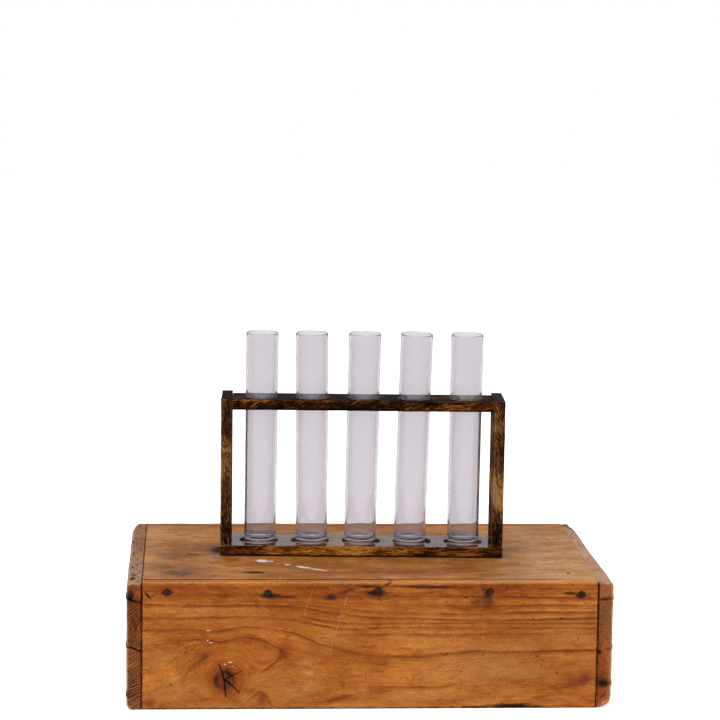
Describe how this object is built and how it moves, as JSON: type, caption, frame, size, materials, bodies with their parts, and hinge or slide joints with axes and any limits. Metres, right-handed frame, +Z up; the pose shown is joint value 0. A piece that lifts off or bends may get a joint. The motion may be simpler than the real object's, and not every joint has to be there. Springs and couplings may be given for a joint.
{
  "type": "wooden block vase",
  "caption": "Stem vase: straight flat-footed glass tubes leaning loosely in a dark wooden rack that stands on a block made of an upturned, nailed pine crate.",
  "frame": {"origin": "middle of the crate's footprint, at the ground", "axes": "+X along the crate's length, to the right seen from the front; +Y from the front board to the back board; +Z up"},
  "size_m": [0.439, 0.249, 0.3261],
  "materials": {
    "old_pine": "worn, waxed satin",
    "rusty_nail": "dark rust",
    "torched_wood": "torched and varnished, satin",
    "steel_brad": "bright wire",
    "clear_glass": "clear, polished"
  },
  "bodies": {
    "crate": {"left_end_board": "old_pine", "right_end_board": "old_pine", "front_board": "old_pine", "back_board": "old_pine", "top_board": "old_pine", "front_nail_1": "rusty_nail", "front_nail_2": "rusty_nail", "front_nail_3": "rusty_nail", "front_nail_4": "rusty_nail", "front_nail_5": "rusty_nail", "back_nail_1": "rusty_nail", "back_nail_2": "rusty_nail", "back_nail_3": "rusty_nail", "back_nail_4": "rusty_nail", "back_nail_5": "rusty_nail", "left_end_front_nail_1": "rusty_nail", "left_end_front_nail_2": "rusty_nail", "left_end_front_nail_3": "rusty_nail", "left_end_back_nail_1": "rusty_nail", "left_end_back_nail_2": "rusty_nail", "left_end_back_nail_3": "rusty_nail", "right_end_front_nail_1": "rusty_nail", "right_end_front_nail_2": "rusty_nail", "right_end_front_nail_3": "rusty_nail", "right_end_back_nail_1": "rusty_nail", "right_end_back_nail_2": "rusty_nail", "right_end_back_nail_3": "rusty_nail"},
    "rack": {"rack_base": "torched_wood", "left_post": "torched_wood", "right_post": "torched_wood", "rack_rail": "torched_wood", "left_base_brad_1": "steel_brad", "left_base_brad_2": "steel_brad", "left_rail_brad_1": "steel_brad", "left_rail_brad_2": "steel_brad", "right_base_brad_1": "steel_brad", "right_base_brad_2": "steel_brad", "right_rail_brad_1": "steel_brad", "right_rail_brad_2": "steel_brad"},
    "tube_1": {"glass_tube_1": "clear_glass"},
    "tube_2": {"glass_tube_2": "clear_glass"},
    "tube_3": {"glass_tube_3": "clear_glass"},
    "tube_4": {"glass_tube_4": "clear_glass"},
    "tube_5": {"glass_tube_5": "clear_glass"}
  },
  "joints": [
    {"name": "rack_lift", "type": "slide", "parent": "crate", "child": "rack", "axis": [0, 0, 1], "range_m": [0, 0.1]},
    {"name": "tube_1_lift", "type": "slide", "parent": "rack", "child": "tube_1", "axis": [0.0025, -0.0408, 0.9992], "range_m": [0, 0.15]},
    {"name": "tube_2_lift", "type": "slide", "parent": "rack", "child": "tube_2", "axis": [-0.0097, -0.0403, 0.9991], "range_m": [0, 0.15]},
    {"name": "tube_3_lift", "type": "slide", "parent": "rack", "child": "tube_3", "axis": [0.0091, -0.041, 0.9991], "range_m": [0, 0.15]},
    {"name": "tube_4_lift", "type": "slide", "parent": "rack", "child": "tube_4", "axis": [0.0173, -0.0413, 0.999], "range_m": [0, 0.15]},
    {"name": "tube_5_lift", "type": "slide", "parent": "rack", "child": "tube_5", "axis": [-0.0005, -0.0407, 0.9992], "range_m": [0, 0.15]}
  ]
}
